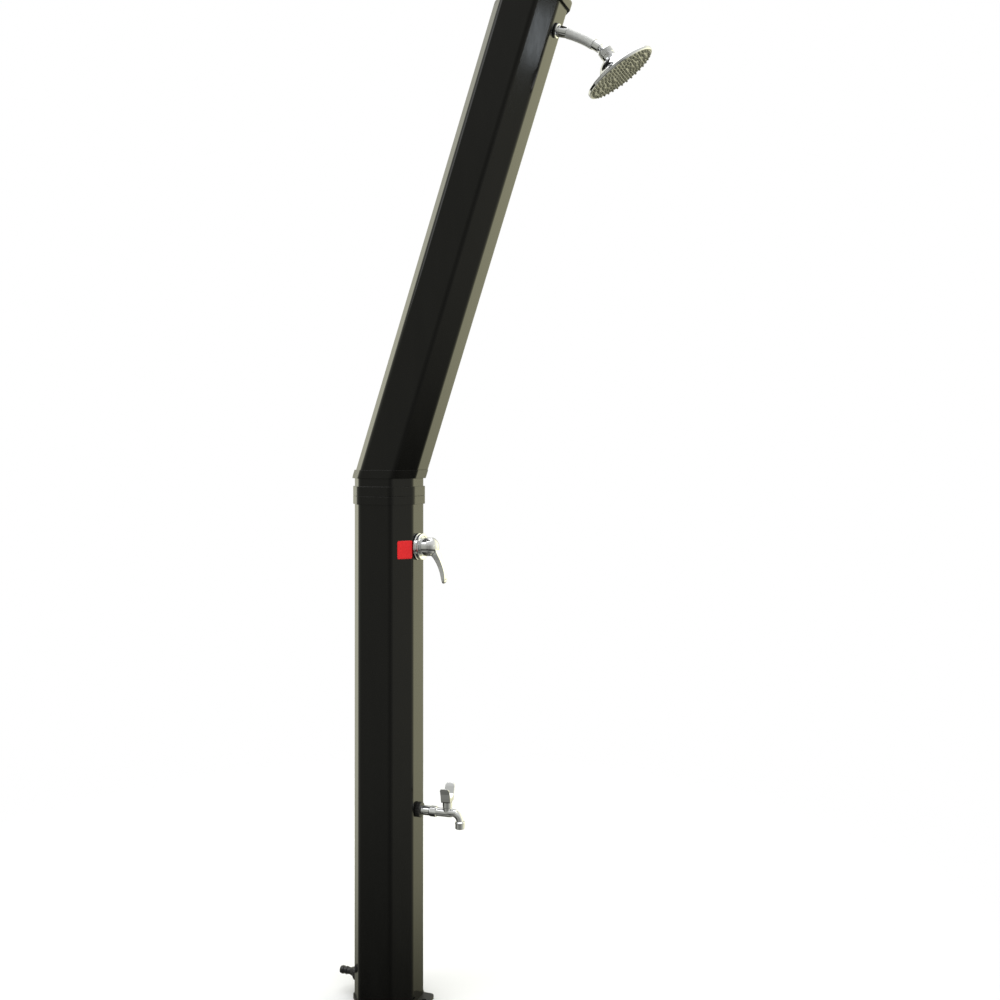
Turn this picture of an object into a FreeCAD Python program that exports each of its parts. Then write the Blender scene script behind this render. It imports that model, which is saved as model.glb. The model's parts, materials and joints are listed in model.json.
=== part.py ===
import FreeCAD, Part
import os, math
from FreeCAD import Vector as V

# Outdoor shower post: a leaning two-part black water column with a mixer, a foot tap
# and a ball-jointed shower head.  Millimetres.  +Z up, front (fittings) towards -Y,
# origin on the floor under the axis of the lower column.

# ---------------------------------------------------------------- driving dimensions
HALF_W = 70.8          # column half width (X)
HALF_D = 71.6          # column half depth (Y)
FLAT_F = 28.2          # half width of the front and rear flats
FLAT_S = 38.4          # half width of the side flats
CORNER_R = 14.0        # corner rounding of the column section
WALL = 3.2             # column wall
TILT = 18.4            # forward lean of the upper column, degrees
Z_KINK = 1151.2        # height where the two axes meet
TOTAL_H = 2170.0       # overall height

PLATE_T = 7.0          # base plate thickness
PLATE_STEP = 3.0       # base plate step proud of the column
EAR_HALF = 34.0        # half width of a base ear
EAR_OUT = 25.2         # how far an ear stands out from the column face
ANCHOR_R = 5.5         # anchor hole radius
ANCHOR_Y = 85.0        # front anchor hole from the axis
ANCHOR_X = 84.0        # side anchor holes from the axis

Z_RING0, Z_RING1 = 1096.7, 1114.5      # glued collar ring on the lower column
Z_ELB0, Z_ELB1 = 1115.1, 1135.9        # raised band of the elbow
Z_NECK1 = 1153.5                       # top of the elbow's upright neck
Z_RIM1 = 1172.0                        # top of the elbow's rim
BAND = 3.6                             # how far the bands stand proud
Z_LOW_TOP = 1133.8                     # top end of the lower column
Z_UP_BOT = 1157.0                      # bottom end of the upper column
Z_UP_TOP = 2158.0                      # top end of the upper column
Z_CAP0 = 2148.0                        # lower edge of the top cap's front visor
CAP_SIDE = 1.0                         # visor proud of the column's sides
CAP_FRONT = 5.3                        # visor shifted forward
CAP_BACK = 352.0                       # rear end of the visor

Z_MIX = 1003.0         # mixer axis height
Z_TAP = 424.5          # foot tap axis height
Z_INLET = 41.0         # hose connector axis height
Z_ARM = 2098.5         # where the shower arm leaves the front face

HEAD_TILT = 33.5       # shower head axis from the vertical at rest, degrees
HEAD_SIDE = 10.0       # sideways turn of the shower head at rest, degrees
HEAD_R = 77.8          # shower head radius
ARM_END = 36.5         # slope of the arm at its free end, degrees
BALL_R = 10.0          # radius of the swivel ball
NOZZLE_RINGS = 6
NOZZLE_PITCH = 11.6
BALL_AT = V(0, -497.295292, 2039.995110)     # centre of the swivel ball

HOSE_R, HOSE_r = 7.0, 5.0              # inner hoses

os.makedirs("parts", exist_ok=True)
X, Y, Z = V(1, 0, 0), V(0, 1, 0), V(0, 0, 1)
T = math.radians(TILT)


def save(name, shape):
    if shape.ShapeType == "Compound" and len(shape.Solids) == 1:
        shape = shape.Solids[0]
    ok = shape.isValid()
    shape.exportStep("parts/%s.step" % name)
    b = shape.BoundBox
    print("%-20s solids %2d valid %s vol %.0f  x %.1f..%.1f y %.1f..%.1f z %.1f..%.1f" % (
        name, len(shape.Solids), ok, shape.Volume, b.XMin, b.XMax, b.YMin, b.YMax, b.ZMin, b.ZMax))


# ---------------------------------------------------------------- helpers
def frame_at(origin, zdir):
    """Placement whose local z runs along zdir and whose local x stays close to world X."""
    z = V(zdir).normalize()
    y = z.cross(V(1, 0, 0)).normalize()
    x = y.cross(z)
    m = FreeCAD.Matrix(x.x, y.x, z.x, origin.x, x.y, y.y, z.y, origin.y,
                       x.z, y.z, z.z, origin.z, 0, 0, 0, 1)
    return FreeCAD.Placement(m)


def put(shape, pl):
    s = shape.copy()
    s.Placement = pl.multiply(s.Placement)
    return s


def cyl(r, z0, z1, at=(0, 0)):
    return Part.makeCylinder(r, z1 - z0, V(at[0], at[1], z0), Z)


def cyl_dir(r, p, d, length):
    return Part.makeCylinder(r, length, V(*p), V(*d))


def cone(r0, r1, z0, z1):
    return Part.makeCone(r0, r1, z1 - z0, V(0, 0, z0), Z)


def rev(pts):
    """Closed (r, z) outline turned about the local z axis."""
    w = Part.makePolygon([V(r, 0, z) for r, z in pts] + [V(pts[0][0], 0, pts[0][1])])
    return Part.Face(w).revolve(V(0, 0, 0), Z, 360)


def tube(r_out, r_in, z0, z1):
    return rev([(r_in, z0), (r_out, z0), (r_out, z1), (r_in, z1)])


def hexagon(across, z0, z1, turn=0.0):
    r = across / 2.0 / math.cos(math.pi / 6)
    pts = [V(r * math.cos(math.radians(60 * i + turn)), r * math.sin(math.radians(60 * i + turn)), z0)
           for i in range(6)]
    pr = Part.Face(Part.makePolygon(pts + [pts[0]])).extrude(V(0, 0, z1 - z0))
    c = min(1.0, (z1 - z0) / 5.0)
    r2 = across / 2.0 * 1.075
    return pr.common(rev([(0, z0), (r2 - c, z0), (r2, z0 + c), (r2, z1 - c), (r2 - c, z1), (0, z1)]))


def octagon(off=0.0, front=None, rear=None, half_w=None, r=None, z=0.0):
    """Rounded eight-sided outline of the column, offset outwards by off."""
    hw = HALF_W if half_w is None else half_w
    hf = HALF_D if front is None else front
    hr = HALF_D if rear is None else rear
    v = [(FLAT_F, -hf), (hw, -FLAT_S), (hw, FLAT_S), (FLAT_F, hr),
         (-FLAT_F, hr), (-hw, FLAT_S), (-hw, -FLAT_S), (-FLAT_F, -hf)]
    n = len(v)
    lines = []
    for i in range(n):
        a, b = v[i], v[(i + 1) % n]
        dx, dy = b[0] - a[0], b[1] - a[1]
        L = math.hypot(dx, dy)
        nx, ny = dy / L, -dx / L
        lines.append((a[0] + nx * off, a[1] + ny * off, dx / L, dy / L))
    pts = []
    for i in range(n):
        x1, y1, dx1, dy1 = lines[i - 1]
        x2, y2, dx2, dy2 = lines[i]
        det = dx1 * dy2 - dy1 * dx2
        t = ((x2 - x1) * dy2 - (y2 - y1) * dx2) / det
        pts.append((x1 + dx1 * t, y1 + dy1 * t))
    rr = max(1.5, (CORNER_R if r is None else r) + off)
    edges = []
    prev_end = None
    first = None
    for i in range(n):
        p0, p1, p2 = pts[i - 1], pts[i], pts[(i + 1) % n]
        d1 = ((p1[0] - p0[0]), (p1[1] - p0[1]))
        d2 = ((p2[0] - p1[0]), (p2[1] - p1[1]))
        l1, l2 = math.hypot(*d1), math.hypot(*d2)
        d1 = (d1[0] / l1, d1[1] / l1)
        d2 = (d2[0] / l2, d2[1] / l2)
        turn = math.acos(max(-1, min(1, d1[0] * d2[0] + d1[1] * d2[1])))
        tl = rr * math.tan(turn / 2)
        a = V(p1[0] - d1[0] * tl, p1[1] - d1[1] * tl, z)
        b = V(p1[0] + d2[0] * tl, p1[1] + d2[1] * tl, z)
        bis = V(d2[0] - d1[0], d2[1] - d1[1], 0).normalize()
        m = V(p1[0], p1[1], z) + bis * (rr / math.cos(turn / 2) - rr)
        if prev_end is not None:
            edges.append(Part.LineSegment(prev_end, a).toShape())
        else:
            first = a
        edges.append(Part.Arc(a, m, b).toShape())
        prev_end = b
    edges.append(Part.LineSegment(prev_end, first).toShape())
    return Part.Face(Part.Wire(edges))


def prism(z0, z1, off=0.0, **kw):
    return octagon(off, z=z0, **kw).extrude(V(0, 0, z1 - z0))


UP = FreeCAD.Placement(V(0, 0, Z_KINK), FreeCAD.Rotation(V(1, 0, 0), TILT))


def slab(z0, z1, ymax=900.0):
    return Part.makeBox(600, ymax + 900.0, z1 - z0, V(-300, -900, z0))


def lean(z0, z1, off=0.0, ymax=900.0, **kw):
    """The leaning section between two level planes."""
    return put(prism(-300, 1400, off, **kw), UP).common(slab(z0, z1, ymax))


def path(points, radii=None):
    """Straight runs joined by tangent arcs."""
    P = [V(*p) for p in points]
    edges = []
    cur = P[0]
    length = 0.0
    for i in range(1, len(P) - 1):
        d1 = (P[i] - P[i - 1])
        d2 = (P[i + 1] - P[i])
        l1, l2 = d1.Length, d2.Length
        d1.normalize()
        d2.normalize()
        turn = d1.getAngle(d2)
        short = min(l1, l2)
        r = 0.45 * short / math.tan(turn / 2) if radii is None else radii[i - 1]
        tl = r * math.tan(turn / 2)
        a = P[i] - d1 * tl
        b = P[i] + d2 * tl
        bis = (d2 - d1).normalize()
        m = P[i] + bis * (r / math.cos(turn / 2) - r)
        edges.append(Part.LineSegment(cur, a).toShape())
        edges.append(Part.Arc(a, m, b).toShape())
        length += (a - cur).Length + r * turn
        cur = b
    edges.append(Part.LineSegment(cur, P[-1]).toShape())
    length += (P[-1] - cur).Length
    return Part.Wire(edges), length


def sweep(wire, r, start, direction):
    c = Part.Wire([Part.makeCircle(r, V(*start), V(direction))])
    return wire.makePipeShell([c], True, False)


def hose(name, points, radii=None):
    w, length = path(points, radii)
    d = V(*points[1]) - V(*points[0])
    outer = sweep(w, HOSE_R, points[0], d)
    inner = sweep(w, HOSE_r, points[0], d)
    s = outer.cut(inner)
    want = math.pi * (HOSE_R ** 2 - HOSE_r ** 2) * length
    print("hose %-20s length %.0f volume ratio %.4f" % (name, length, s.Volume / want))
    save(name, s)


def hole_y(r, z, y0, y1, x=0.0):
    return Part.makeCylinder(r, y1 - y0, V(x, y0, z), Y)


# ---------------------------------------------------------------- base
base = prism(0, PLATE_T, PLATE_STEP)
for bx in ((-EAR_HALF, -HALF_D - EAR_OUT, 2 * EAR_HALF, HALF_D + EAR_OUT),
           (-HALF_W - EAR_OUT, -EAR_HALF, 2 * (HALF_W + EAR_OUT), 2 * EAR_HALF)):
    b = Part.makeBox(bx[2], bx[3], PLATE_T, V(bx[0], bx[1], 0))
    up_edges = [e for e in b.Edges if abs(e.BoundBox.ZLength - PLATE_T) < 1e-6 and
                (abs(e.BoundBox.YMin) > 60 or abs(e.BoundBox.XMin) > 60)]
    base = base.fuse(b.makeFillet(9.0, up_edges))
base = base.fuse(prism(PLATE_T - 1, 37.0, -WALL - 0.1)).removeSplitter()
base = base.cut(prism(PLATE_T + 0.001, 60.0, -WALL - 3.1))
for hx, hy in ((0, -ANCHOR_Y), (ANCHOR_X, 0), (-ANCHOR_X, 0)):
    base = base.cut(cyl(ANCHOR_R, -1, PLATE_T + 1, (hx, hy)))
# the inlet passes the spigot at the rear
base = base.cut(hole_y(17.5, Z_INLET, 40.0, 80.0))
save("base_flange", base)

# ---------------------------------------------------------------- columns
FACE_Y = -HALF_D
low = prism(PLATE_T, Z_LOW_TOP).cut(prism(PLATE_T - 1, Z_LOW_TOP + 1, -WALL))
low = low.cut(hole_y(17.2, Z_MIX, -90, -50)).cut(hole_y(10.7, Z_TAP, -90, -50)).cut(hole_y(10.7, Z_INLET, 50, 90))
save("lower_column", low)

v_arm = (Z_ARM - Z_KINK + HALF_D * math.sin(T)) / math.cos(T)
F0 = V(0, -HALF_D * math.cos(T) - v_arm * math.sin(T), Z_ARM)      # arm root on the front face
N = V(0, -math.cos(T), -math.sin(T))                              # outward from that face
ARM = frame_at(F0, N)
up = lean(Z_UP_BOT, Z_UP_TOP).cut(lean(Z_UP_BOT - 5, Z_UP_TOP + 5, -WALL))
up = up.cut(put(cyl(10.7, -20, 20), ARM))
save("upper_column", up)

# ---------------------------------------------------------------- collar and elbow
save("lower_collar_ring", prism(Z_RING0, Z_RING1, BAND).cut(prism(Z_RING0 - 1, Z_RING1 + 1, 0.05)))

elbow = prism(Z_ELB0, Z_ELB1, BAND)
elbow = elbow.fuse(prism(Z_ELB1 - 1, Z_NECK1, 0.0))
rim = lean(Z_NECK1 - 0.001, Z_RIM1, 0.0, ymax=HALF_D + 2.6, front=HALF_D + 1.2, rear=HALF_D + 4.0,
           half_w=HALF_W + 2.5)
elbow = elbow.fuse(rim)
elbow = elbow.cut(prism(Z_ELB0 - 1, Z_LOW_TOP + 0.2, 0.05))
elbow = elbow.cut(prism(Z_LOW_TOP, Z_UP_BOT, -WALL))
elbow = elbow.cut(lean(Z_UP_BOT - 0.001, Z_RIM1 + 5, 0.05))
# screws enter from the rear
SCREWS = [(-18.0, 1125.5, 1.0), (18.0, 1125.5, 1.0)]
for sx, sz, _ in SCREWS:
    elbow = elbow.cut(hole_y(2.1, sz, 60, 90, sx)).cut(hole_y(4.2, sz, HALF_D + BAND - 1.6, 95, sx))
save("elbow_housing", elbow)

screws = []
for sx, sz, _ in SCREWS:
    yh = HALF_D + BAND
    s = Part.makeCylinder(4.0, 1.5, V(sx, yh - 1.55, sz), Y).fuse(
        Part.makeCylinder(1.9, 13.0, V(sx, yh - 14.0, sz), Y))
    s = s.cut(Part.makeBox(1.0, 1.0, 5.0, V(sx - 0.5, yh - 0.8, sz - 2.5)))
    s = s.cut(Part.makeBox(5.0, 1.0, 1.0, V(sx - 2.5, yh - 0.8, sz - 0.5)))
    screws.append(s)
save("elbow_screws", Part.makeCompound(screws))

# screw holes through the lower column and its plug
low = low.cut(hole_y(2.0, 1125.5, 50, 90, -18.0)).cut(hole_y(2.0, 1125.5, 50, 90, 18.0))
save("lower_column", low)

LINK = (0.0, 0.0)
COUP = 34.0
p = prism(1118.0, 1123.0, -WALL - 0.1).fuse(prism(1100.0, 1131.0, -WALL - 0.1).cut(prism(1099.0, 1132.0, -WALL - 3.1)))
p = p.cut(cyl(15.1, 1090, 1140)).cut(cyl(8.1, 1090, 1140, (COUP, 0))).cut(cyl(8.1, 1090, 1140, (-COUP, 0)))
for sx, sz, _ in SCREWS:
    p = p.cut(hole_y(1.95, sz, 40, 90, sx))
save("lower_top_plug", p)

q = lean(1158.0, 1163.0, -WALL - 0.1).fuse(lean(1158.0, 1180.0, -WALL - 0.1).cut(lean(1157.0, 1181.0, -WALL - 3.1)))
q = q.cut(cyl(15.1, 1140, 1190)).cut(cyl(8.1, 1140, 1190, (COUP, 0))).cut(cyl(8.1, 1140, 1190, (-COUP, 0)))
save("upper_bottom_plug", q)

nip = cyl(15.0, 1106.0, 1176.0).fuse(hexagon(42.0, 1125.6, 1155.4, 30.0)).cut(cyl(11.0, 1100, 1180))
save("link_nipple", nip)
save("link_seals", Part.makeCompound([tube(21.0, 15.1, 1123.05, 1125.55), tube(21.0, 15.1, 1155.45, 1157.95)]))
save("link_nuts", Part.makeCompound([
    hexagon(40.0, 1110.0, 1117.95, 30.0).cut(cyl(15.05, 1100, 1120)),
    hexagon(40.0, 1163.05, 1171.0, 30.0).cut(cyl(15.05, 1160, 1180))]))


def coupler(x):
    c = rev([(4.0, 1092), (4.9, 1092), (4.9, 1112), (8.0, 1112), (8.0, 1169), (4.9, 1169), (4.9, 1190), (4.0, 1190)])
    c = c.fuse(tube(11.5, 7.0, 1123.05, 1128.0)).fuse(tube(11.5, 7.0, 1153.0, 1157.95))
    c.translate(V(x, 0, 0))
    return c


save("hot_coupler", coupler(COUP))
save("shower_coupler", coupler(-COUP))

# ---------------------------------------------------------------- top
t = lean(2146.0, 2151.0, -WALL - 0.1).fuse(lean(2128.0, 2151.0, -WALL - 0.1).cut(lean(2127.0, 2146.0, -WALL - 3.1)))
save("upper_top_plug", t.removeSplitter())



def rounded_top(solid):
    """The solid with its upper rim rounded."""
    rim = [e for e in solid.Edges if e.BoundBox.ZMin > TOTAL_H - 0.01]
    try:
        return solid.makeFillet(7.0, rim)
    except Exception as err:
        print("cap fillet left out", err)
        return solid


lid = rounded_top(lean(Z_UP_TOP + 0.3, TOTAL_H, 0.0))
visor = put(prism(-300, 1400, CAP_SIDE), UP)
visor.translate(V(0, -CAP_FRONT, 0))
visor = rounded_top(visor.common(slab(Z_CAP0, TOTAL_H, 900.0)))
visor = visor.common(Part.makeBox(400, 400, 100, V(-200, -CAP_BACK - 400, Z_CAP0 - 20)))
cap = lid.fuse(visor)
cap = cap.cut(lean(Z_CAP0 - 1, Z_UP_TOP + 0.3, 0.1)).cut(lean(Z_CAP0 - 1, Z_UP_TOP + 5.0, -WALL))
save("top_cap", cap.removeSplitter())

# ---------------------------------------------------------------- inlet at the rear
INL = frame_at(V(0, HALF_D, Z_INLET), Y)       # local z runs out of the rear face
conn = rev([(5.0, -19), (10.3, -19), (10.3, 2.6), (17.0, 2.6), (17.0, 10.5), (15.6, 12.0), (11.5, 13.0),
            (8.6, 22.0), (7.4, 23.5), (7.4, 30.5), (8.6, 32.0), (8.6, 35.0), (7.0, 36.0), (7.0, 39.5),
            (8.6, 40.5), (8.6, 45.5), (7.6, 48.4), (5.0, 48.4)])
flutes = []
for i in range(12):
    a = math.radians(30 * i)
    flutes.append(cyl(1.3, 2.0, 11.2, (17.4 * math.cos(a), 17.4 * math.sin(a))))
conn = conn.cut(Part.makeCompound(flutes))
save("hose_connector", put(conn, INL))
save("inlet_gasket", put(tube(16.0, 10.5, 0.05, 2.55), INL))
back_nut = hexagon(30.0, -10.25, -WALL - 0.05).cut(cyl(10.4, -12, 0))
save("check_valve", put(rev([(0, -18.0), (2.0, -18.0), (2.0, -10.0), (4.2, -10.0), (4.7, -8.6), (4.2, -7.4), (0, -7.4)]), INL))
# two-way manifold behind the inlet
man = Part.makeBox(46, 17, 19, V(-23, HALF_D - 19.2 - 17, Z_INLET - 9.5)).fuse(
    cyl_dir(6.0, (0, HALF_D - 19.2 - 1, Z_INLET), (0, 1, 0), 1.0))
MY = HALF_D - 19.2 - 8.5
for sx in (-14.0, 14.0):
    man = man.fuse(cyl(4.9, Z_INLET + 9.0, Z_INLET + 34.0, (sx, MY)))
for sx in (-14.0, 14.0):
    man = man.cut(cyl(3.6, Z_INLET, Z_INLET + 40.0, (sx, MY)))
man = man.cut(cyl_dir(3.6, (-14, MY, Z_INLET), (1, 0, 0), 28)).cut(cyl_dir(4.2, (0, MY, Z_INLET), (0, 1, 0), 30))
save("inlet_manifold", man.removeSplitter())

# ---------------------------------------------------------------- mixer
MIX = frame_at(V(0, FACE_Y, Z_MIX), V(0, -1, 0))   # local z out of the front face, local y up
PIV = 26.0                                         # lever pivot, and centre of the round bonnet
save("mixer_gasket", put(rev([(17.3, 0.05), (28.9, 0.05), (29.1, 0.3), (29.1, 1.5), (17.3, 1.5)]), MIX))
esc = rev([(17.1, 1.55), (29.3, 1.55), (29.6, 2.0), (29.6, 3.4), (28.9, 4.1), (27.9, 4.6), (27.9, 8.6), (28.3, 9.4), (29.3, 10.2), (29.5, 11.2),
           (28.9, 12.2), (27.4, 12.7), (23.6, 12.3), (22.6, 11.8), (21.5, 11.5), (17.1, 11.5)])
save("escutcheon", put(esc, MIX))
mb = rev([(0, -50), (15.5, -50), (17.0, -48.5), (17.0, 11.6), (20.2, 11.6), (20.2, PIV), (18.8, PIV), (18.8, 21.0),
          (17.5, 21.0), (17.5, 13.6), (0, 13.6)])
ports = [(0.0, -1), (9.5, 1), (-9.5, 1)]
for px, sg in ports:
    mb = mb.fuse(cyl_dir(4.9, (px, sg * 8.0, -32.0), (0, sg, 0), 32.0))
for px, sg in ports:
    mb = mb.cut(cyl_dir(3.6, (px, sg * 3.0, -32.0), (0, sg, 0), 45.0))
    mb = mb.cut(cyl(3.0, -32.0, 20.0, (px, sg * 7.0)))
save("mixer_body", put(mb.removeSplitter(), MIX))
save("mixer_nut", put(hexagon(46.0, -12.0, -WALL - 0.05).cut(cyl(17.1, -20, 0)), MIX))
car = rev([(0, 13.65), (17.4, 13.65), (17.4, 20.95), (10.0, 20.95), (10.0, 16.4), (0, 16.4)])
for px, sg in ports:
    car = car.cut(cyl(2.6, 13.0, 17.0, (px * 0.7, sg * 6.0)))
save("cartridge", put(car, MIX))
save("cartridge_nut", put(hexagon(60, 21.0, PIV).common(cyl(18.7, 21.0, PIV)).cut(cyl(11.0, 20, 30)), MIX))
# round bonnet cover
dome = Part.makeSphere(20.2, V(0, 0, PIV)).cut(Part.makeSphere(18.7, V(0, 0, PIV)))
dome = dome.cut(cyl(40, -10, PIV + 0.05)).cut(cyl(14.6, 30, 60))
save("bonnet_cover", put(dome, MIX))
# turning carrier inside the cartridge, with two ears for the lever pin
carr = cyl(9.8, 16.5, 21.4).fuse(cyl(9.8, 21.4, 31.0).cut(Part.makeBox(10.0, 30, 12, V(-5.0, -15, 21.4))))
carr = carr.cut(cyl_dir(1.5, (-12, 0, PIV), (1, 0, 0), 24))
save("lever_carrier", put(carr, MIX))
save("lever_pin", put(cyl_dir(1.48, (-9.5, 0, PIV), (1, 0, 0), 19), MIX))
sp = Part.makeBox(9.4, 7.6, 19.0, V(-4.7, -3.8, PIV)).fuse(cyl_dir(3.8, (-4.7, 0, PIV), (1, 0, 0), 9.4))
sp = sp.cut(cyl_dir(1.54, (-12, 0, PIV), (1, 0, 0), 24)).removeSplitter()
save("lever_spindle", put(sp, MIX))
# hood and blade of the lever
HOOD_R, HOOD_r = 22.3, 20.8
hood = Part.makeSphere(HOOD_R, V(0, 0, PIV)).cut(Part.makeSphere(HOOD_r, V(0, 0, PIV)))
hood = hood.cut(cyl(40, -10, PIV + 7.6))
hood = hood.fuse(cyl(6.6, 41.0, 47.2)).cut(Part.makeBox(9.5, 7.7, 9.3, V(-4.75, -3.85, 36.0)))


def yz(pts, half):
    """Outline in local (z out, y up), thick +-half along X."""
    w = Part.makePolygon([V(-half, y, z) for z, y in pts] + [V(-half, pts[0][1], pts[0][0])])
    return Part.Face(w).extrude(V(2 * half, 0, 0))


side = yz([(36.0, -19.4), (38.0, -15.0), (41.0, -8.0), (43.4, 4.0), (45.0, 1.0), (46.2, -4.3), (48.2, -11.4),
           (51.4, -18.5), (55.0, -25.6), (58.6, -35.2), (61.5, -43.5), (63.9, -51.8), (65.6, -61.4),
           (66.3, -68.6), (65.2, -75.0), (63.2, -78.6), (61.2, -79.8), (59.8, -77.6), (59.0, -73.5), (57.2, -66.5),
           (54.6, -55.8), (50.9, -45.2), (46.4, -34.8), (42.0, -27.2), (38.0, -21.6)], 14.0)
front = Part.makePolygon([V(-9.5, 5, 20), V(-10.4, -6, 20), V(-10.0, -16, 20), V(-8.4, -28, 20), V(-7.0, -42, 20),
                          V(-6.6, -55, 20), V(-7.4, -68, 20), V(-6.9, -75.0, 20), V(-4.6, -78.4, 20), V(0, -79.8, 20),
                          V(4.6, -78.4, 20), V(6.9, -75.0, 20), V(7.4, -68, 20), V(6.6, -55, 20), V(7.0, -42, 20),
                          V(8.4, -28, 20), V(10.0, -16, 20), V(10.4, -6, 20), V(9.5, 5, 20), V(-9.5, 5, 20)])
blade = side.common(Part.Face(front).extrude(V(0, 0, 60)))
blade = blade.cut(Part.makeSphere(21.2, V(0, 0, PIV)))
hood = hood.fuse(blade)
hood = hood.cut(cyl_dir(2.0, (0, -42.0, 44.0), (0, 1, 0), 39.0))
hood = hood.cut(Part.makeSphere(2.6, V(0, -70.5, 67.2)))
save("lever_handle", put(hood.removeSplitter(), MIX))
save("lever_screw", put(cyl_dir(1.9, (0, -10.6, 44.0), (0, 1, 0), 6.6), MIX))

# ---------------------------------------------------------------- foot tap
TAP = frame_at(V(0, FACE_Y, Z_TAP), V(0, -1, 0))
ros = rev([(10.5, 0.05), (16.4, 0.05), (16.4, 7.6), (15.2, 9.0), (12.0, 9.4), (10.5, 9.4)])
notch = [cyl(1.1, 0.6, 8.4, (16.6 * math.cos(math.radians(22.5 * i)), 16.6 * math.sin(math.radians(22.5 * i))))
         for i in range(16)]
save("tap_rosette", put(ros.cut(Part.makeCompound(notch)), TAP))
SD = 70.0      # stem axis, distance from the face
ND = 99.8     # nozzle axis
tb = cyl(10.3, -19.0, 14.0).fuse(rev([(0, 14.0), (9.9, 14.0), (10.4, 14.8), (10.4, 29.0), (9.6, 30.0), (0, 30.0)]))
tb = tb.fuse(hexagon(21.6, 30.0, 45.0)).fuse(cone(9.3, 8.7, 45.0, SD)).fuse(cone(8.7, 8.3, SD, SD + 10.5))
tb = tb.fuse(Part.makeSphere(8.9, V(0, 0, SD)))
tb = tb.fuse(Part.makeCone(9.2, 7.3, 20.0, V(0, 1.6, SD + 2.0), Z))
pw, _l = path([(0, 1.0, SD - 8), (0, 1.0, ND), (0, -24.0, ND)], [17.0])
spout = sweep(pw, 7.6, (0, 1.0, SD - 8), V(0, 0, 1))
tb = tb.fuse(spout)
tb = tb.fuse(cyl_dir(8.8, (0, 0, SD), (0, 1, 0), 17.5))
bore = sweep(pw, 5.2, (0, 1.0, SD - 8), V(0, 0, 1))
tb = tb.cut(bore).cut(cyl(5.4, -19, SD)).cut(Part.makeSphere(6.65, V(0, 0, SD)))
tb = tb.cut(cyl(6.3, SD - 9.1, SD + 9.1)).cut(cyl_dir(4.05, (0, 0, SD), (0, 1, 0), 30))
tb = tb.cut(Part.makeBox(60, 30, 60, V(-30, -50.0, ND - 30)))
tb = tb.fuse(tube(4.9, 3.6, -31.0, -20.0)).fuse(tube(10.0, 3.6, -21.5, -18.9))
save("tap_body", put(tb.removeSplitter(), TAP))
save("ball_seats", put(Part.makeCompound([tube(6.2, 3.8, SD - 9.0, SD - 6.7), tube(6.2, 3.8, SD + 6.7, SD + 9.0)]), TAP))
ball = Part.makeSphere(6.4, V(0, 0, SD)).cut(cyl_dir(3.6, (-12, 0, SD), (1, 0, 0), 24))
ball = ball.cut(Part.makeBox(16, 3.0, 2.8, V(-8, 5.1, SD - 1.4)))
save("valve_ball", put(ball, TAP))
stem = cyl_dir(3.95, (0, 7.0, SD), (0, 1, 0), 23.0).fuse(Part.makeBox(6.4, 2.2, 2.6, V(-3.2, 5.2, SD - 1.3)))
stem = stem.common(cyl_dir(3.95, (0, 0, SD), (0, 1, 0), 40)).cut(cyl_dir(2.05, (0, 22.0, SD), (0, 1, 0), 12))
save("tap_stem", put(stem, TAP))
gl = hexagon(14.0, 0, 6.0).cut(cyl(4.1, -1, 9))
gl.rotate(V(0, 0, 0), X, -90)
gl.translate(V(0, 17.55, SD))
save("gland_nut", put(gl, TAP))
hub = cyl_dir(10.4, (0, 11.6, SD), (0, 1, 0), 21.6).cut(cyl_dir(9.3, (0, 11.0, SD), (0, 1, 0), 12.9))
hub = hub.fuse(cyl_dir(10.1, (0, 23.8, SD), (0, 1, 0), 2.0))


def wing(sg):
    pts = [(0, 25.4), (13.0, 25.4), (15.4, 28.5), (17.2, 36.0), (19.6, 45.0), (23.2, 52.6), (26.6, 58.6),
           (24.0, 59.2), (20.4, 53.2), (16.8, 45.6), (13.8, 39.2), (10.0, 35.8), (5.4, 34.4), (0, 34.2)]
    w = Part.makePolygon([V(sg * a, b, SD - 12) for a, b in pts] + [V(sg * pts[0][0], pts[0][1], SD - 12)])
    s = Part.Face(w).extrude(V(0, 0, 24))
    prof = Part.makeBox(60, 39.0, 21.0, V(-30, 20.0, SD - 10.5))
    ed = [e for e in prof.Edges if abs(e.BoundBox.XLength - 60) < 1e-6 and e.BoundBox.YMin > 57]
    prof = prof.makeFillet(6.5, ed)
    return s.common(prof)


hd = hub.fuse(wing(1)).fuse(wing(-1))
hd = hd.cut(cyl_dir(4.0, (0, 20, SD), (0, 1, 0), 10.4)).cut(cyl_dir(2.1, (0, 20, SD), (0, 1, 0), 20))
hd = hd.cut(cyl_dir(4.9, (0, 33.6, SD), (0, 1, 0), 8)).removeSplitter()
hd.rotate(V(0, 0, SD), Y, 8.0)
save("tap_handle", put(hd, TAP))
save("handle_screw", put(cyl_dir(2.0, (0, 24.0, SD), (0, 1, 0), 9.7).fuse(
    Part.makeCone(4.3, 3.0, 2.2, V(0, 33.65, SD), Y)), TAP))
noz = rev([(5.0, -30.5), (9.4, -30.5), (10.2, -29.5), (10.2, -19.6), (10.8, -19.0), (10.8, -16.6), (9.0, -15.0),
           (7.75, -14.4), (7.75, -20.4), (5.0, -20.4)])
noz.rotate(V(0, 0, 0), X, -90)
noz.translate(V(0, 0, ND))
save("spout_nozzle", put(noz, TAP))

# ---------------------------------------------------------------- shower arm
save("arm_gasket", put(tube(14.6, 10.5, 0.05, 1.8), ARM))
save("wall_nut", put(rev([(10.45, 1.85), (15.5, 1.85), (15.5, 4.2), (14.6, 5.6), (12.6, 6.2), (10.45, 6.2)]), ARM))
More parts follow.
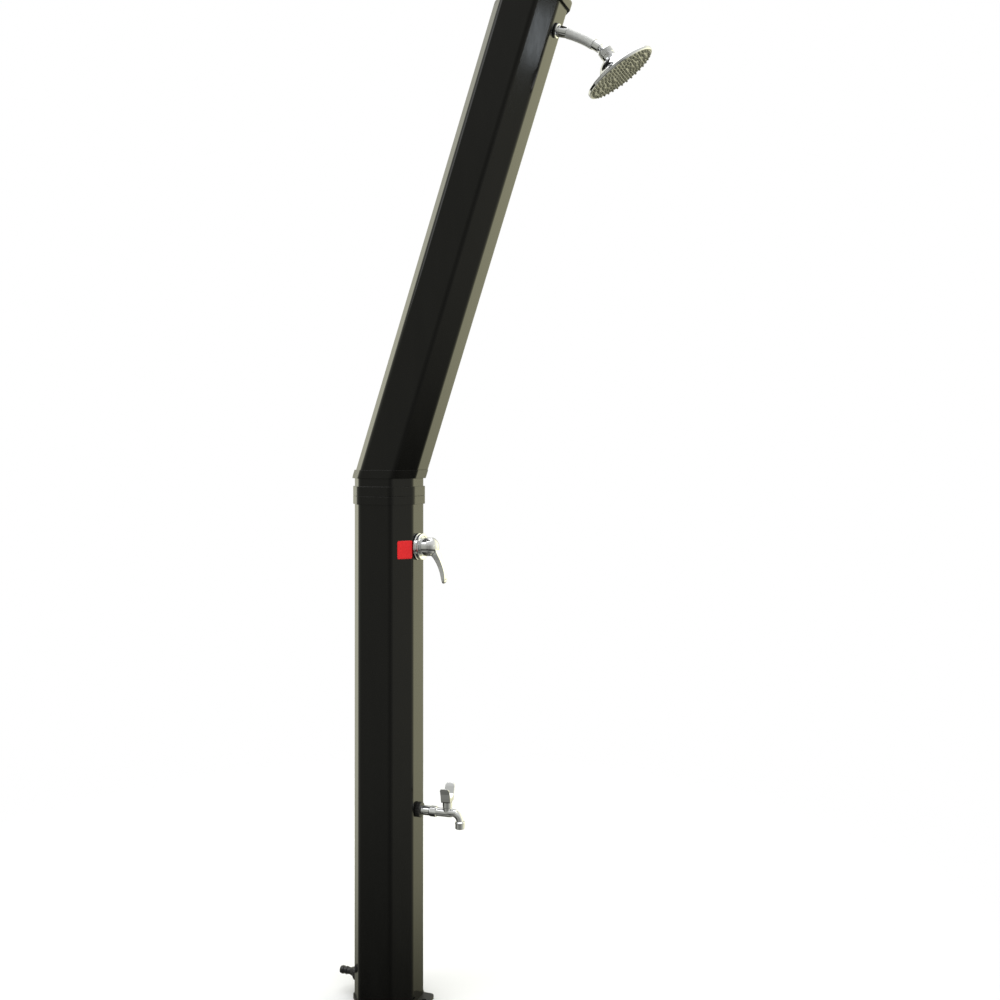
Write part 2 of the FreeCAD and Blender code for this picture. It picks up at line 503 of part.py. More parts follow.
# arm line: straight out of the face, then bending down; the end carries the ball
d_end = V(0, -math.cos(math.radians(ARM_END)), -math.sin(math.radians(ARM_END)))
half = math.radians((ARM_END - TILT) / 2.0)
chord_dir = V(0, -math.cos(math.radians((ARM_END + TILT) / 2)), -math.sin(math.radians((ARM_END + TILT) / 2)))
run = BALL_AT - d_end * 30.0 - F0                      # what the straight run and the arc must cover
det = N.y * chord_dir.z - N.z * chord_dir.y
S0 = (run.y * chord_dir.z - run.z * chord_dir.y) / det
CH = (N.y * run.z - N.z * run.y) / det
print("arm straight %.2f chord %.2f" % (S0, CH))
A0 = F0 + N * S0
A1 = A0 + chord_dir * CH
Rarc = CH / 2 / math.sin(half)
sag = Rarc * (1 - math.cos(half))
mid = (A0 + A1) * 0.5 + V(0, -chord_dir.z, chord_dir.y) * (-sag)
if (mid - (A0 + A1) * 0.5).z < 0:
    mid = (A0 + A1) * 0.5 - V(0, -chord_dir.z, chord_dir.y) * (-sag)
arc_w = Part.Wire([Part.Arc(A0, mid, A1).toShape()])
BC = A1 + d_end * 30.0                                  # ball centre
print("ball centre", BC, "arm end", A1)
out_w = Part.Wire([Part.LineSegment(F0 + N * 8.0, A0).toShape(), Part.Arc(A0, mid, A1).toShape()])
core = sweep(out_w, 8.0, tuple(F0 + N * 8.0), N)
core = core.fuse(put(rev([(0, -21.0), (9.6, -21.0), (10.3, -20.2), (10.3, 6.4), (12.4, 6.4), (12.4, 9.0), (11.9, 10.2),
                          (11.2, 26.0), (10.8, 27.0), (0, 27.0)]), ARM))
END = frame_at(A1, d_end)
bore_w = Part.Wire([Part.LineSegment(F0 - N * 30.0, A0).toShape(), Part.Arc(A0, mid, A1).toShape(),
                    Part.LineSegment(A1, A1 + d_end * 3.0).toShape()])
core = core.cut(sweep(bore_w, 5.2, tuple(F0 - N * 30.0), N))
save("arm_tube", core.removeSplitter())
arc2 = Part.Wire([Part.Arc(A0, mid, A1).toShape()])
sl = sweep(arc2, 11.5, (A0.x, A0.y, A0.z), N).cut(sweep(arc2, 8.05, (A0.x, A0.y, A0.z), N))
sl = sl.common(put(Part.makeBox(80, 80, 400, V(-40, -40, 27.15)), ARM)).cut(put(Part.makeBox(80, 80, 60, V(-40, -40, -0.15)), END))
save("arm_sleeve", sl)
fer = rev([(5.2, 0.0), (9.9, 0.0), (9.9, 15.5), (9.1, 17.0), (5.6, 18.6), (4.8, 20.0), (4.8, 24.0), (3.0, 24.0), (3.0, 10.0), (5.2, 8.0)])
fer = fer.fuse(Part.makeSphere(BALL_R, V(0, 0, 30.0))).cut(cyl(3.0, 5, 45)).removeSplitter()
save("arm_ferrule", put(fer, END))
save("back_nuts", Part.makeCompound([put(back_nut, INL), put(back_nut, TAP), put(back_nut, ARM)]))
el = tube(12.6, 10.4, -36.5, -12.0)
el = el.fuse(cyl(12.6, -40.0, -36.4)).fuse(cyl_dir(8.0, (0, -10.5, -26.0), (0, -1, 0), 15.5))
el = el.fuse(cyl_dir(4.9, (0, -26, -26.0), (0, -1, 0), 24.0))
el = el.cut(cyl_dir(3.6, (0, -5.0, -26.0), (0, -1, 0), 60.0))
save("arm_elbow", put(el.removeSplitter(), ARM))

# ---------------------------------------------------------------- shower head
HT, HS = math.radians(HEAD_TILT), math.radians(HEAD_SIDE)
aH = V(math.sin(HS), -math.sin(HT) * math.cos(HS), -math.cos(HT) * math.cos(HS))
HEAD = frame_at(BC, aH)      # local z along the spray, from the ball centre
print("head axis", aH)
# union nut that holds the ball
nut = rev([(9.5, -4.0), (13.8, -4.0), (15.0, -2.8), (15.0, 8.5), (14.4, 9.4), (14.4, 15.8), (13.2, 15.8),
           (13.2, 0.9), (10.35, 0.9), (9.95, -2.8)])
kn = [cyl(0.75, -2.6, 8.2, (15.25 * math.cos(math.radians(12 * i)), 15.25 * math.sin(math.radians(12 * i)))) for i in range(30)]
save("ball_nut", put(nut.cut(Part.makeCompound(kn)), HEAD))
# two round cups around the ball, one inside the other, and the flat washer behind them


def zone(r0, r1, a0, a1):
    """Part of a hollow sphere between two cones about the local z axis."""
    sp = Part.makeSphere(r1, V(0, 0, 0)).cut(Part.makeSphere(r0, V(0, 0, 0)))
    t0, t1 = math.radians(a0), math.radians(a1)
    return sp.common(rev([(20 * math.sin(t0), 20 * math.cos(t0)), (20 * math.sin(t1), 20 * math.cos(t1)),
                          (2 * math.sin(t1), 2 * math.cos(t1)), (2 * math.sin(t0), 2 * math.cos(t0))]))


aT = V(0, -math.sin(HT), -math.cos(HT))
save("ball_liner", put(zone(10.25, 10.8, 20.0, 54.0), frame_at(BC, aT)))
save("ball_cup", put(zone(11.1, 11.7, 20.0, 54.0), HEAD))
save("seat_washer", put(rev([(5.6, 12.0), (12.6, 12.0), (12.6, 13.1), (5.6, 13.1)]), HEAD))


def spline(pts):
    c = Part.BSplineCurve()
    c.interpolate([V(r, 0, z) for r, z in pts])
    return c.toShape()


RI = HEAD_R - 2.2                              # inside of the shell's rim
outer = [(19.0, 18.4), (25.5, 22.0), (32.0, 28.0), (37.5, 35.2), (46.5, 41.4), (60.0, 46.0), (HEAD_R - 4.8, 49.0)]
inner = [(RI - 4.3, 51.4), (59.0, 48.3), (45.2, 43.6), (35.5, 37.2), (30.0, 30.2), (24.2, 24.6), (19.0, 21.4)]
edges = [spline(outer)]


def seg(a, b):
    return Part.LineSegment(V(a[0], 0, a[1]), V(b[0], 0, b[1])).toShape()


chain = [(HEAD_R - 4.8, 49.0), (HEAD_R - 1.6, 50.1), (HEAD_R, 51.7), (HEAD_R, 56.1), (HEAD_R - 1.0, 57.7), (RI, 57.7),
         (RI, 52.5), (RI - 4.3, 51.4)]
for i in range(len(chain) - 1):
    edges.append(seg(chain[i], chain[i + 1]))
edges.append(spline(inner))
chain = [(19.0, 21.4), (10.0, 20.0), (6.0, 20.0), (6.0, 13.2), (12.8, 13.2), (12.8, 16.2), (15.6, 16.2), (19.0, 18.4)]
for i in range(len(chain) - 1):
    edges.append(seg(chain[i], chain[i + 1]))
shell = Part.Face(Part.Wire(edges)).revolve(V(0, 0, 0), Z, 360)
save("head_shell", put(shell, HEAD))

RF = RI - 0.2                                  # radius of the spray face
CROWN = 2.2                                    # the spray face is slightly domed


def face_z(r):
    return 56.9 + CROWN * (1.0 - (r / RF) ** 2)


face = rev([(0, 55.9), (60.0, 54.7), (RF, 54.1)] + [(r, face_z(r)) for r in (RF, 70, 60, 50, 40, 30, 20, 10)] + [(0, face_z(0))])
nz = [(0.0, 0.0)]
for k in range(1, NOZZLE_RINGS + 1):
    for i in range(6 * k):
        a = 2 * math.pi * (i + 0.5 * (k % 2)) / (6 * k)
        nz.append((k * NOZZLE_PITCH * math.cos(a), k * NOZZLE_PITCH * math.sin(a)))
save("face_plate", put(face, HEAD))
noz_s = []
for x, y in nz:
    c = Part.makeCone(2.7, 1.7, 4.4, V(x, y, face_z(max(0.0, math.hypot(x, y) - 2.7)) + 0.02), Z)
    noz_s.append(put(c, HEAD))
save("spray_nozzles", Part.makeCompound(noz_s))
print("nozzles", len(noz_s))

# ---------------------------------------------------------------- inner hoses
hose("cold_hose", [(14, MY, Z_INLET + 16), (14, MY, 240), (30, 0, 400), (30, 0, 760), (0, -39.6, 900), (0, -39.6, Z_MIX - 24)])
hose("tap_hose", [(-14, MY, Z_INLET + 16), (-14, MY, 230), (0, 22, Z_TAP), (0, -50, Z_TAP)])
my = FACE_Y + 32.0
hose("hot_hose_lower", [(9.5, my, Z_MIX + 24), (9.5, my, 1052), (COUP, 0, 1078), (COUP, 0, 1110)])
hose("shower_hose_lower", [(-9.5, my, Z_MIX + 24), (-9.5, my, 1052), (-COUP, 0, 1078), (-COUP, 0, 1110)])


def axis_pt(z, x=0.0, back=0.0):
    return (x, -(z - Z_KINK) * math.tan(T) + back, z)


hose("hot_hose_upper", [(COUP, 0, 1171), (COUP, 0, 1215), axis_pt(1700, COUP, 6), axis_pt(2105, 24, 20)])
ep = ARM.multVec(V(0, -30.0, -26.0))
ep2 = ARM.multVec(V(0, -150.0, -26.0))
hose("shower_hose_upper", [(-COUP, 0, 1171), (-COUP, 0, 1215), axis_pt(1600, -COUP, 0), tuple(ep2), tuple(ep)])
print("arm root", F0, "normal", N, "barb end", ep)
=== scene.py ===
import json
import math

import bmesh
import bpy
from mathutils import Matrix, Vector


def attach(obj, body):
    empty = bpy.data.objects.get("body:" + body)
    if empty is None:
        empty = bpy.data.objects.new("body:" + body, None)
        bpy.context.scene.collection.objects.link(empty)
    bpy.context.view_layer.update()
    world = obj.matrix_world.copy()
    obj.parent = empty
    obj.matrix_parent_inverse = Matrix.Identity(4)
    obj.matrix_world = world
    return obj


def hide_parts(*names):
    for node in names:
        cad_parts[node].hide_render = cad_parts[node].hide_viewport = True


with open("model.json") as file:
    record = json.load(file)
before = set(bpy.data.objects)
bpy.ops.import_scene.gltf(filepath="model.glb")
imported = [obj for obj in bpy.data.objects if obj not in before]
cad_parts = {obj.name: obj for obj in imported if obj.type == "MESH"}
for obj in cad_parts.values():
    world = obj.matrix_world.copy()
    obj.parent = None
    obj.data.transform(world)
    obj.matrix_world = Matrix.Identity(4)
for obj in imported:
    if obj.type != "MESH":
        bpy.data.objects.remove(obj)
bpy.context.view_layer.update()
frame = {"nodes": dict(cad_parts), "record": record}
nodes = frame["nodes"]
slots = {s["node"]: s["material_slot"] for s in frame["record"]["subparts"]}


# ------------------------------------------------------------------ material helpers
class Mat:
    """A small wrapper that builds one procedural material."""

    def __init__(self, name):
        self.m = bpy.data.materials.new(name)
        self.m.use_nodes = True
        self.t = self.m.node_tree
        self.t.nodes.clear()
        self.out = self.t.nodes.new("ShaderNodeOutputMaterial")
        self.p = self.t.nodes.new("ShaderNodeBsdfPrincipled")
        self.t.links.new(self.p.outputs[0], self.out.inputs[0])
        self.co = self.t.nodes.new("ShaderNodeTexCoord").outputs["Object"]
        self.normal = None

    def node(self, kind, **inputs):
        n = self.t.nodes.new(kind)
        for k, v in inputs.items():
            key = k.replace("_", " ")
            if hasattr(v, "is_output") or isinstance(v, bpy.types.NodeSocket):
                self.t.links.new(v, n.inputs[key])
            else:
                n.inputs[key].default_value = v
        return n

    def set(self, **inputs):
        for k, v in inputs.items():
            key = k.replace("_", " ")
            if isinstance(v, bpy.types.NodeSocket):
                self.t.links.new(v, self.p.inputs[key])
            else:
                self.p.inputs[key].default_value = v
        return self

    def scaled(self, sx, sy, sz):
        n = self.t.nodes.new("ShaderNodeMapping")
        self.t.links.new(self.co, n.inputs["Vector"])
        n.inputs["Scale"].default_value = (sx, sy, sz)
        return n.outputs[0]

    def noise(self, scale, detail=3.0, rough=0.55, vector=None):
        n = self.t.nodes.new("ShaderNodeTexNoise")
        self.t.links.new(vector or self.co, n.inputs["Vector"])
        n.inputs["Scale"].default_value = scale
        n.inputs["Detail"].default_value = detail
        n.inputs["Roughness"].default_value = rough
        return n.outputs["Fac"]

    def voronoi(self, scale, feature="F1", vector=None):
        n = self.t.nodes.new("ShaderNodeTexVoronoi")
        n.feature = feature
        self.t.links.new(vector or self.co, n.inputs["Vector"])
        n.inputs["Scale"].default_value = scale
        return n.outputs["Distance"]

    def ramp(self, fac, stops):
        n = self.t.nodes.new("ShaderNodeValToRGB")
        self.t.links.new(fac, n.inputs[0])
        r = n.color_ramp
        while len(r.elements) < len(stops):
            r.elements.new(0.5)
        for e, (pos, col) in zip(r.elements, stops):
            e.position = pos
            e.color = (*col, 1.0) if len(col) == 3 else col
        return n.outputs[0]

    def span(self, fac, lo, hi, a=0.3, b=0.7):
        n = self.t.nodes.new("ShaderNodeMapRange")
        self.t.links.new(fac, n.inputs["Value"])
        n.inputs["From Min"].default_value = a
        n.inputs["From Max"].default_value = b
        n.inputs["To Min"].default_value = lo
        n.inputs["To Max"].default_value = hi
        return n.outputs[0]

    def math(self, op, a, b=None):
        n = self.t.nodes.new("ShaderNodeMath")
        n.operation = op
        for i, v in enumerate((a, b)):
            if v is None:
                continue
            if isinstance(v, bpy.types.NodeSocket):
                self.t.links.new(v, n.inputs[i])
            else:
                n.inputs[i].default_value = v
        return n.outputs[0]

    def mix(self, fac, a, b):
        n = self.t.nodes.new("ShaderNodeMix")
        n.data_type = "RGBA"
        ins = [i for i in n.inputs if i.type == "RGBA"]
        if isinstance(fac, bpy.types.NodeSocket):
            self.t.links.new(fac, n.inputs[0])
        else:
            n.inputs[0].default_value = fac
        for s, v in zip(ins, (a, b)):
            if isinstance(v, bpy.types.NodeSocket):
                self.t.links.new(v, s)
            else:
                s.default_value = (*v, 1.0)
        return [o for o in n.outputs if o.type == "RGBA"][0]

    def edge(self, radius):
        """Softly rounded edges."""
        n = self.t.nodes.new("ShaderNodeBevel")
        n.samples = 6
        n.inputs["Radius"].default_value = radius
        self.normal = n.outputs[0]
        return self

    def bump(self, height, strength, distance):
        n = self.t.nodes.new("ShaderNodeBump")
        n.inputs["Strength"].default_value = strength
        n.inputs["Distance"].default_value = distance
        self.t.links.new(height, n.inputs["Height"])
        if self.normal is not None:
            self.t.links.new(self.normal, n.inputs["Normal"])
        self.normal = n.outputs[0]
        return self

    def done(self):
        if self.normal is not None:
            self.t.links.new(self.normal, self.p.inputs["Normal"])
        return self.m


def gloss_black(name, base, rough, edge, peel=0.05, wave=0.25):
    """Painted or moulded gloss black: faint orange peel, slow waves, dust and wipe marks in the gloss."""
    k = Mat(name)
    slow = k.noise(5.0, 2.0, 0.5, k.scaled(1.0, 1.0, 0.25))
    fine = k.noise(900.0, 2.0)
    wipes = k.noise(38.0, 5.0, 0.65, k.scaled(1.0, 1.0, 0.22))
    dust = k.voronoi(420.0)
    speck = k.math("LESS_THAN", dust, 0.055)
    col = k.mix(k.span(wipes, 0.0, 1.0), tuple(c * 0.8 for c in base), tuple(c * 1.25 for c in base))
    col = k.mix(k.math("MULTIPLY", speck, 0.10), col, (0.25, 0.25, 0.23))
    k.set(Base_Color=col, Roughness=k.span(wipes, rough * 0.8, rough * 1.35), IOR=1.5, Specular_IOR_Level=0.3)
    if edge:
        k.edge(edge)
    k.bump(slow, wave, 0.0012).bump(fine, peel, 0.00012)
    return k.done()


def metal(name, base, rough, edge=0.0006, brushed=0.0, tarnish=0.12, scale=120.0, metallic=1.0):
    """Plated or bare metal with water marks and small unevenness of the polish."""
    k = Mat(name)
    spots = k.noise(scale, 5.0, 0.6)
    slow = k.noise(scale * 0.25, 2.0)
    col = k.mix(k.span(spots, 0.0, tarnish, 0.42, 0.75), base, tuple(c * 0.72 for c in base))
    k.set(Base_Color=col, Metallic=metallic, Roughness=k.span(slow, rough * 0.75, rough * 1.6))
    if edge:
        k.edge(edge)
    if brushed:
        k.bump(k.noise(900.0, 3.0, 0.6, k.scaled(1.0, 0.06, 0.06)), brushed, 0.00004)
    k.bump(slow, 0.12, 0.0004)
    return k.done()


def plastic(name, base, rough, edge=0.0005, grain=0.18, scale=700.0):
    """Moulded plastic with a fine spark-eroded grain."""
    k = Mat(name)
    g = k.noise(scale, 3.0, 0.6)
    slow = k.noise(22.0, 3.0)
    k.set(Base_Color=k.mix(k.span(slow, 0.0, 1.0), tuple(c * 0.85 for c in base), tuple(min(1.0, c * 1.12) for c in base)),
          Roughness=k.span(g, rough * 0.85, min(1.0, rough * 1.15)), IOR=1.5)
    if edge:
        k.edge(edge)
    k.bump(g, grain, 0.00008)
    return k.done()


def rubber(name, base, rough=0.62):
    k = Mat(name)
    g = k.noise(420.0, 4.0, 0.65)
    dusty = k.noise(60.0, 4.0, 0.6)
    k.set(Base_Color=k.mix(k.span(dusty, 0.0, 0.5), base, tuple(min(1.0, c * 1.9 + 0.01) for c in base)),
          Roughness=k.span(g, rough * 0.9, min(1.0, rough * 1.2)), IOR=1.45)
    k.edge(0.0004)
    k.bump(g, 0.25, 0.0001)
    return k.done()


column = gloss_black("gloss_black_column", (0.0030, 0.0030, 0.0027), 0.10, None)
trim = gloss_black("gloss_black_trim", (0.0034, 0.0034, 0.0031), 0.16, 0.0012, 0.10)
chrome = metal("chrome_plate", (0.72, 0.73, 0.755), 0.05)
satin = metal("satin_grey", (0.66, 0.67, 0.68), 0.34, 0.0004, 0.5, 0.2, 120.0, 0.55)
brass = metal("turned_brass", (0.72, 0.52, 0.22), 0.22, 0.0004, 0.25, 0.3)
steel = metal("stainless", (0.58, 0.58, 0.57), 0.24, 0.0003, 0.3, 0.2)
black_plastic = plastic("moulded_black", (0.012, 0.012, 0.012), 0.42)
dark_plastic = plastic("connector_dark", (0.007, 0.007, 0.008), 0.22)
white_plastic = plastic("moulded_white", (0.72, 0.72, 0.69), 0.4)
black_rubber = rubber("black_rubber", (0.010, 0.010, 0.010))
grey_rubber = rubber("nozzle_silicone", (0.175, 0.175, 0.135), 0.5)
face_plate = plastic("spray_face", (0.42, 0.42, 0.34), 0.22, 0.0004, 0.05)
hose_mat = rubber("braided_hose", (0.55, 0.55, 0.53), 0.5)

by_slot = {
    "gloss_black_column": column, "gloss_black_trim": trim, "chrome": chrome, "satin_sleeve": satin,
    "brass": brass, "stainless": steel, "black_plastic": black_plastic, "connector_plastic": dark_plastic,
    "white_plastic": white_plastic, "rubber": black_rubber, "nozzle_rubber": grey_rubber,
    "face_plastic": face_plate, "hose": hose_mat,
}
for name, obj in nodes.items():
    obj.data.materials.clear()
    obj.data.materials.append(by_slot[slots[name]])

body_name = {}
for b, members in frame["record"]["behaviour"]["bodies"].items():
    for n in members:
        body_name[n] = b


# ------------------------------------------------------------------ pieces that stand for a CAD node
def soften(node, voxel, steps, material, factor=0.5):
    """A cast piece: the CAD shape with its edges and inside corners rounded over."""
    src = nodes[node]
    o = bpy.data.objects.new(node + "_cast", src.data.copy())
    bpy.context.scene.collection.objects.link(o)
    w = o.modifiers.new("w", "WELD")
    w.merge_threshold = 0.00001
    r = o.modifiers.new("r", "REMESH")
    r.mode = "VOXEL"
    r.voxel_size = voxel
    r.adaptivity = 0.0
    s = o.modifiers.new("s", "SMOOTH")
    s.factor = factor
    s.iterations = steps
    dg = bpy.context.evaluated_depsgraph_get()
    me = bpy.data.meshes.new_from_object(o.evaluated_get(dg))
    o.modifiers.clear()
    o.data = me
    me.materials.clear()
    me.materials.append(material)
    for p in me.polygons:
        p.use_smooth = True
    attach(o, body_name[node])
    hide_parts(node)
    return o


soften("lever_handle", 0.0006, 7, chrome)
soften("tap_body", 0.0006, 4, chrome)
soften("tap_handle", 0.0005, 6, chrome)


# ------------------------------------------------------------------ plain red patch near the mixer
HALF_W, HALF_D, FLAT_F, FLAT_S, CORNER_R = 0.0708, 0.0716, 0.0282, 0.0384, 0.014


def face_profile(s, lift):
    """Point on the front-left slanted face, s metres from its rear corner, and past it round the front corner."""
    ax, ay, bx, by = -HALF_W, -FLAT_S, -FLAT_F, -HALF_D
    length = math.hypot(bx - ax, by - ay)
    dx, dy = (bx - ax) / length, (by - ay) / length
    nx, ny = dy, -dx
    turn = math.acos(dx)
    tl = CORNER_R * math.tan(turn / 2)
    s1 = length - tl
    if s <= s1:
        return ax + dx * s + nx * lift, ay + dy * s + ny * lift
    a = (s - s1) / CORNER_R
    cx, cy = ax + dx * s1 - nx * CORNER_R, ay + dy * s1 - ny * CORNER_R
    ang = math.atan2(ny, nx) + a
    return cx + math.cos(ang) * (CORNER_R + lift), cy + math.sin(ang) * (CORNER_R + lift)


def patch(name, s0, s1, z0, z1, radius, lift, material, body):
    """A thin rounded patch that follows the face."""
    me = bpy.data.meshes.new(name)
    bm = bmesh.new()
    hw, hh = (s1 - s0) / 2, (z1 - z0) / 2
    sc, zc = (s0 + s1) / 2, (z0 + z1) / 2
    cols, rows = 28, 24
    grid = []
    for i in range(cols + 1):
        u = -hw + 2 * hw * i / cols
        edge = max(0.0, abs(u) - (hw - radius))
        lim = hh - radius + math.sqrt(max(0.0, radius * radius - edge * edge))
        line = []
        for j in range(rows + 1):
            v = -lim + 2 * lim * j / rows
            rim = min(hw - abs(u), lim - abs(v))
            up = lift * (1.0 if rim > 0.0006 else 0.35 + 0.65 * max(0.0, rim) / 0.0006)
            x, y = face_profile(sc + u, up)
            line.append(bm.verts.new((x, y, zc + v)))
        grid.append(line)
    for i in range(cols):
        for j in range(rows):
            bm.faces.new((grid[i][j], grid[i + 1][j], grid[i + 1][j + 1], grid[i][j + 1]))
    bmesh.ops.remove_doubles(bm, verts=bm.verts, dist=0.00002)
    bmesh.ops.recalc_face_normals(bm, faces=bm.faces)
    bm.to_mesh(me)
    bm.free()
    o = bpy.data.objects.new(name, me)
    bpy.context.scene.collection.objects.link(o)
    t = o.modifiers.new("t", "SOLIDIFY")
    t.thickness = lift * 0.8
    t.offset = -1.0 if me.polygons[0].normal.dot(Vector((-0.615, -0.789, 0))) > 0 else 1.0
    me.materials.append(material)
    for p in me.polygons:
        p.use_smooth = True
    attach(o, body)
    return o


k = Mat("red_patch")
g = k.noise(300.0, 3.0)
k.set(Base_Color=k.mix(k.span(g, 0.0, 1.0), (0.78, 0.012, 0.018), (0.88, 0.018, 0.026)), Roughness=k.span(g, 0.34, 0.44), IOR=1.4)
k.bump(g, 0.08, 0.00008)
patch("side_patch", 0.0167, 0.0530, 0.979, 1.0185, 0.003, 0.0003, k.done(), "post")

# ------------------------------------------------------------------ smooth shading of the CAD nodes
for name, obj in nodes.items():
    if any(p.use_smooth for p in obj.data.polygons):
        continue
    for p in obj.data.polygons:
        p.use_smooth = True
    obj.data.set_sharp_from_angle(angle=math.radians(28))

# ------------------------------------------------------------------ floor, surround and light
scene = bpy.context.scene
scene.view_settings.view_transform = "Standard"


def floor():
    """A pale round floor whose rim fades into the surround."""
    me = bpy.data.meshes.new("floor")
    bm = bmesh.new()
    bmesh.ops.create_circle(bm, cap_ends=True, radius=1.9, segments=128)
    bm.to_mesh(me)
    bm.free()
    o = bpy.data.objects.new("floor", me)
    o.location = (0.35, 0.15, -0.0005)
    scene.collection.objects.link(o)
    k = Mat("floor_pale")
    k.set(Base_Color=(0.90, 0.91, 0.94, 1.0), Roughness=0.9, Specular_IOR_Level=0.0)
    far = k.t.nodes.new("ShaderNodeVectorMath")
    far.operation = "LENGTH"
    k.t.links.new(k.co, far.inputs[0])
    fade = k.t.nodes.new("ShaderNodeMapRange")
    fade.interpolation_type = "SMOOTHERSTEP"
    k.t.links.new(far.outputs["Value"], fade.inputs["Value"])
    fade.inputs["From Min"].default_value = 0.45
    fade.inputs["From Max"].default_value = 1.75
    fade.inputs["To Min"].default_value = 1.0
    fade.inputs["To Max"].default_value = 0.0
    k.t.links.new(fade.outputs[0], k.p.inputs["Alpha"])
    me.materials.append(k.done())
    o.visible_glossy = False


floor()

world = bpy.data.worlds.new("surround")
scene.world = world
world.use_nodes = True
wt = world.node_tree
wt.nodes.clear()
w_out = wt.nodes.new("ShaderNodeOutputWorld")


def wn(kind, *links, **attrs):
    n = wt.nodes.new(kind)
    for a, v in attrs.items():
        setattr(n, a, v)
    for i, v in enumerate(links):
        if v is None:
            continue
        if isinstance(v, bpy.types.NodeSocket):
            wt.links.new(v, n.inputs[i])
        else:
            n.inputs[i].default_value = v
    return n


# round the compass: bright behind the object, dim on the side of the camera
gen = wt.nodes.new("ShaderNodeTexCoord").outputs["Generated"]
sep = wn("ShaderNodeSeparateXYZ", gen)
ang = wn("ShaderNodeMath", sep.outputs[1], sep.outputs[0], operation="ARCTAN2").outputs[0]
turn = wn("ShaderNodeMath", ang, 2 * math.pi, operation="ADD").outputs[0]
turn = wn("ShaderNodeMath", turn, 2 * math.pi, operation="MODULO").outputs[0]
turn = wn("ShaderNodeMath", turn, 2 * math.pi, operation="DIVIDE").outputs[0]
ring = wt.nodes.new("ShaderNodeValToRGB")
wt.links.new(turn, ring.inputs[0])
ring.color_ramp.interpolation = "B_SPLINE"
STOPS = [(0, (0.80, 0.78, 0.60)), (14, (0.30, 0.30, 0.26)), (30, (0.40, 0.40, 0.33)), (41, (1.00, 0.99, 0.79)),
         (49, (1.21, 1.20, 0.95)), (60, (1.10, 1.085, 0.87)), (100, (0.75, 0.75, 0.66)), (152, (0.49, 0.495, 0.435)),
         (180, (0.38, 0.38, 0.34)), (207, (0.27, 0.27, 0.245)), (233, (0.50, 0.50, 0.45)), (257, (0.80, 0.80, 0.70)),
         (290, (1.20, 1.18, 0.95)), (322, (2.10, 2.045, 1.39)), (335, (2.20, 2.14, 1.47)), (347, (1.90, 1.85, 1.25)),
         (360, (0.80, 0.78, 0.60))]
TOP = 2.4
while len(ring.color_ramp.elements) < len(STOPS):
    ring.color_ramp.elements.new(0.5)
for e, (deg, v) in zip(ring.color_ramp.elements, STOPS):
    e.position = deg / 360.0
    e.color = (v[0] / TOP, v[1] / TOP, v[2] / TOP, 1.0)
# dimmer towards the ground
low = wn("ShaderNodeMapRange", sep.outputs[2])
low.inputs["From Min"].default_value = -1.0
low.inputs["From Max"].default_value = 1.0
low.inputs["To Min"].default_value = 0.0
low.inputs["To Max"].default_value = 1.0
fall = wt.nodes.new("ShaderNodeValToRGB")
wt.links.new(low.outputs[0], fall.inputs[0])
FALL = [(-1.0, 0.30), (-0.86, 0.34), (-0.78, 0.62), (-0.66, 0.50), (-0.57, 0.06), (-0.46, 0.09), (-0.41, 0.30),
        (-0.37, 0.50), (-0.28, 0.74), (-0.15, 0.88), (0.0, 0.92), (0.2, 1.0), (1.0, 1.0)]
while len(fall.color_ramp.elements) < len(FALL):
    fall.color_ramp.elements.new(0.5)
for e, (h, v) in zip(fall.color_ramp.elements, FALL):
    e.position = (h + 1.0) / 2.0
    e.color = (v, v, v, 1.0)
ringed = wn("ShaderNodeMix", data_type="RGBA", blend_type="MULTIPLY")
ringed.inputs[0].default_value = 1.0
rin = [i for i in ringed.inputs if i.type == "RGBA"]
wt.links.new(ring.outputs[0], rin[0])
wt.links.new(fall.outputs[0], rin[1])
ring_out = [o for o in ringed.outputs if o.type == "RGBA"][0]
# a pale ceiling
up = wn("ShaderNodeMapRange", sep.outputs[2])
up.inputs["From Min"].default_value = 0.22
up.inputs["From Max"].default_value = 0.80
up.inputs["To Min"].default_value = 0.0
up.inputs["To Max"].default_value = 1.0
blend_up = wn("ShaderNodeMix", data_type="RGBA")
wt.links.new(up.outputs[0], blend_up.inputs[0])
cols = [i for i in blend_up.inputs if i.type == "RGBA"]
wt.links.new(ring_out, cols[0])
cols[1].default_value = (0.84 / TOP, 0.84 / TOP, 0.80 / TOP, 1.0)
mixed = [o for o in blend_up.outputs if o.type == "RGBA"][0]
bg_light = wn("ShaderNodeBackground", mixed, TOP)
bg_seen = wn("ShaderNodeBackground", (1.0, 1.0, 1.0, 1.0), 1.0)
seen = wt.nodes.new("ShaderNodeLightPath").outputs["Is Camera Ray"]
pick = wn("ShaderNodeMixShader", seen, bg_light.outputs[0], bg_seen.outputs[0])
wt.links.new(pick.outputs[0], w_out.inputs[0])


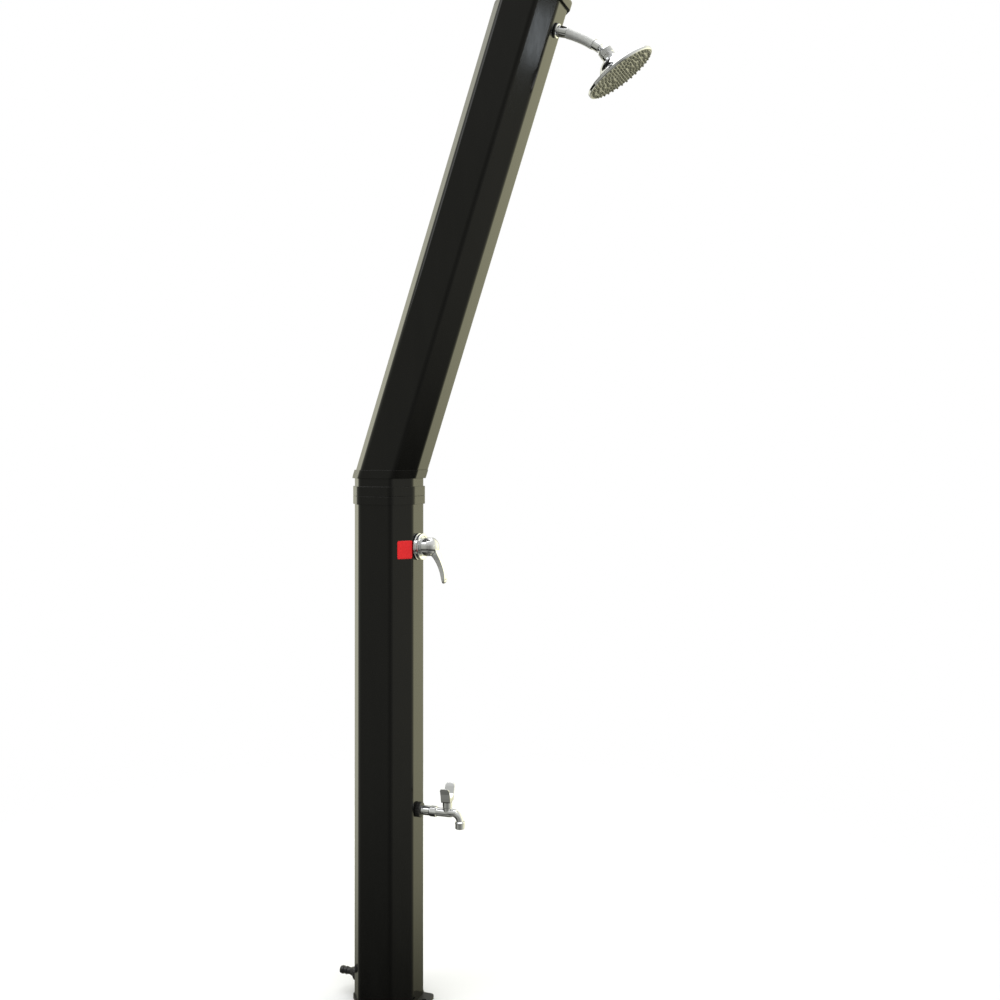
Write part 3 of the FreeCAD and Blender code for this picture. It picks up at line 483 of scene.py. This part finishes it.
def area(name, place, aim, size, power, colour=(1, 1, 1), size_y=None, shape="RECTANGLE", glossy=True):
    d = bpy.data.lights.new(name, "AREA")
    d.shape = shape
    d.size = size
    d.size_y = size_y or size
    d.energy = power
    d.color = colour
    o = bpy.data.objects.new(name, d)
    o.location = place
    o.rotation_mode = "QUATERNION"
    o.rotation_quaternion = (Vector(aim) - Vector(place)).to_track_quat("-Z", "Y")
    o.visible_camera = False
    o.visible_glossy = glossy
    scene.collection.objects.link(o)
    return o


area("overhead", (0.5, 0.4, 4.4), (0.1, 0.1, 0.0), 3.6, 75.0, (1.0, 0.99, 0.97))
area("front_glow", (-0.58, -3.40, 1.86), (-0.05, -0.44, 2.08), 0.10, 0.50, (0.84, 0.92, 1.0), 0.27, "ELLIPSE")
area("side_box", (-1.85, 1.95, 3.15), (0.0, -0.1, 1.0), 1.6, 17.0, size_y=1.9)
area("fill", (-2.7, -2.5, 1.9), (0.0, 0.0, 0.9), 2.0, 42.0, glossy=False)

# ------------------------------------------------------------------ camera at the photograph's viewpoint
CAM = Vector((-2.18529104, -1.09676381, 1.20648578))
AZ, YAW, PITCH, FOCAL = math.radians(-62.9753), 0.107774548, -0.00391955254, 1.09110012
f0 = Vector((-math.sin(AZ), math.cos(AZ), 0))
r0 = Vector((math.cos(AZ), math.sin(AZ), 0))
z = Vector((0, 0, 1))
fwd = f0 * math.cos(YAW) + r0 * math.sin(YAW)
right = r0 * math.cos(YAW) - f0 * math.sin(YAW)
look = fwd * math.cos(PITCH) - z * math.sin(PITCH)
up_v = z * math.cos(PITCH) + fwd * math.sin(PITCH)
cd = bpy.data.cameras.new("camera")
cd.sensor_width = 36.0
cd.lens = FOCAL * 36.0
cd.shift_y = -0.05
cd.clip_start = 0.05
cd.clip_end = 200.0
cam = bpy.data.objects.new("camera", cd)
cam.matrix_world = Matrix((
    (right.x, up_v.x, -look.x, CAM.x),
    (right.y, up_v.y, -look.y, CAM.y),
    (right.z, up_v.z, -look.z, CAM.z),
    (0, 0, 0, 1)))
scene.collection.objects.link(cam)
scene.camera = cam
